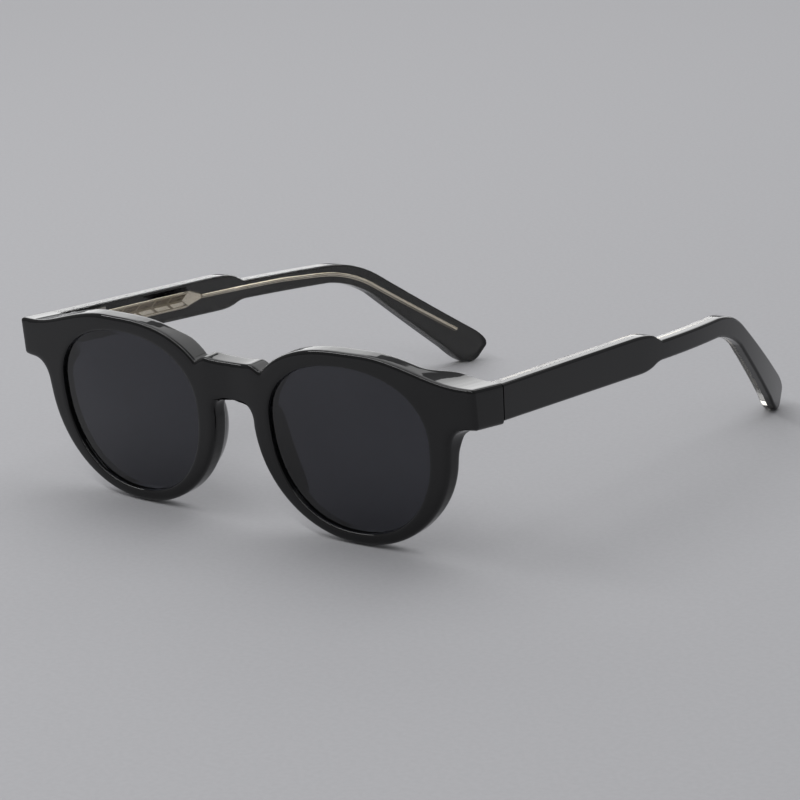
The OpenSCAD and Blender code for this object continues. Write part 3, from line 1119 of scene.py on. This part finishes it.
def buildWire():
    # a tube along the core's line, with a short point at its end
    line = wireLine()
    count = len(line)

    def wirePoint(column, row):
        at = min(count - 1, max(0, row - 1))
        radius = core["wire"] if 0 < row < count + 1 else 0
        run = (line[min(count - 1, at + 1)] - line[max(0, at - 1)]).normalized()
        turn = 2 * pi * column / core["wireSides"]
        point = line[at] + Vector((-run.y, run.x)) * radius * cos(turn)
        if row == count + 1:
            point += run * core["wireTip"]
        depth = core["wireDepth"] + radius * sin(turn)
        return Vector((templeX(point.x, depth), point.x - front["middleY"], point.y)) * mm

    return gridPiece("core_wire", core["wireSides"], count + 1, wirePoint)


def buildCores():
    plate = buildPlate()
    wire = buildWire()
    ground = buildGround()
    setMaterial(plate, champagneCore)
    setMaterial(wire, champagneCore)
    # the upper tiles are rougher and carry painted shade, a darker copy of the core's metal; the lower ones
    # keep the core's smoother metal, so the upper ones look darker
    upper = buildTiles("core_tiles_upper", 1, shadedFacet)
    lower = buildTiles("core_tiles_lower", 0, champagneCore)
    selectOnly(ground, upper, lower, wire, plate)
    bpy.ops.object.join()
    closeMesh(plate)
    other = mirroredCopy(plate, "temple_core_right_metal")
    smoothShade(plate, angle=35)
    smoothShade(other, angle=35)
    return plate, other


coreLeft, coreRight = buildCores()
finishPiece(coreLeft, "left_temple", "core_metal", "temple_core_left")
finishPiece(coreRight, "right_temple", "core_metal", "temple_core_right")
print("cores made")


# Hinges and screws keep their CAD shapes

for name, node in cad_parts.items():
    if name.startswith("hinge_"):
        setMaterial(node, steelScrew if name == "hinge_screws" else nickelHinge)
print("hinges finished")


# Floor, light and camera

studio = {
    "floor": "#B6B6B9",
    "tooth": "#B3B3B6",
    "grain": 1.3,  # mm between the specks of the paper
    "relief": 0.15,
    "reliefDepth": 0.1,
    "rough": 0.85,
    "sheen": 0.2,
    "size": 14,  # metres across
    "below": 0.0001,  # metres below the glasses
    "sky": "#F2F3F5",
    "world": 0.3,
}

# places and sizes in metres, energies in watts
lamps = {
    "top_softbox": {
        "at": (-0.2, 0.35, 1.05), "aim": (0, 0, 0), "width": 1.3, "height": 1.1, "watts": 6,
    },
    "back_softbox": {
        "at": (-1.25, 1.35, 0.62), "aim": (0, 0, 0.03), "width": 2.3, "height": 0.95, "watts": 11,
    },
    "edge_strip": {
        "at": (-0.05, -0.6, 0.85), "aim": (-0.05, -0.6, 0), "width": 2, "height": 0.1, "watts": 5.5,
        "roll": -25,
    },
}


def paperFloor():
    # matt backdrop paper: a pale grey with a fine tooth
    material, tree, shader, place = newMaterial("matt_backdrop_paper")
    grain = addNoise(tree, place, studio["grain"], 3)
    setColour(tree, shader, grain, studio["tooth"], studio["floor"])
    setBump(tree, shader, grain, studio["relief"], studio["reliefDepth"])
    shader.inputs["Roughness"].default_value = studio["rough"]
    shader.inputs["Specular IOR Level"].default_value = studio["sheen"]
    return material


def addLamp(name, at, aim, width, height, watts, roll=0):
    # a rectangular area lamp that shines from one place at another
    bpy.ops.object.light_add(type="AREA", location=at)
    lamp = bpy.context.object
    lamp.name = name
    lamp.data.shape = "RECTANGLE"
    lamp.data.size = width
    lamp.data.size_y = height
    lamp.data.energy = watts
    turned = (Vector(aim) - Vector(at)).to_track_quat("-Z", "Y") @ Quaternion((0, 0, 1), radians(roll))
    lamp.rotation_euler = turned.to_euler()
    lamp.visible_camera = False


def buildStudio():
    bpy.ops.object.select_all(action="DESELECT")
    bpy.ops.mesh.primitive_plane_add(size=studio["size"], location=(0, 0, -studio["below"]))
    floor = nameNew("floor")
    bpy.ops.object.transform_apply(location=True, rotation=False, scale=False)
    floor.data.materials.append(paperFloor())
    for name, lamp in lamps.items():
        addLamp(name, **lamp)

    world = bpy.data.worlds.new("soft_studio")
    bpy.context.scene.world = world
    world.use_nodes = True
    background = world.node_tree.nodes["Background"]
    background.inputs["Color"].default_value = linear(studio["sky"])
    background.inputs["Strength"].default_value = studio["world"]


# the photo's camera, as solved from the openings and the temples
photoCamera = {
    "at": (505.1, -608.738, 223.003),
    "turn": 40.4372,  # degrees from straight in front, towards the wearer's left
    "tilt": 14.8506,  # degrees that it looks down
    "roll": -2.7622,
    "focal": 144,
    "sensor": 36,
    "near": 0.05,  # metres
    "far": 30,
}


def buildCamera():
    bpy.ops.object.camera_add()
    camera = bpy.context.object
    camera.name = "photo_camera"
    turned = (Matrix.Rotation(radians(photoCamera["turn"]), 4, "Z")
              @ Matrix.Rotation(radians(90 - photoCamera["tilt"]), 4, "X")
              @ Matrix.Rotation(radians(photoCamera["roll"]), 4, "Z"))
    camera.matrix_world = Matrix.Translation(Vector(photoCamera["at"]) * mm) @ turned
    camera.data.lens = photoCamera["focal"]
    camera.data.sensor_width = photoCamera["sensor"]
    camera.data.clip_start = photoCamera["near"]
    camera.data.clip_end = photoCamera["far"]
    bpy.context.scene.camera = camera


buildStudio()
buildCamera()
bpy.context.scene.view_settings.view_transform = "Standard"
print("studio made")
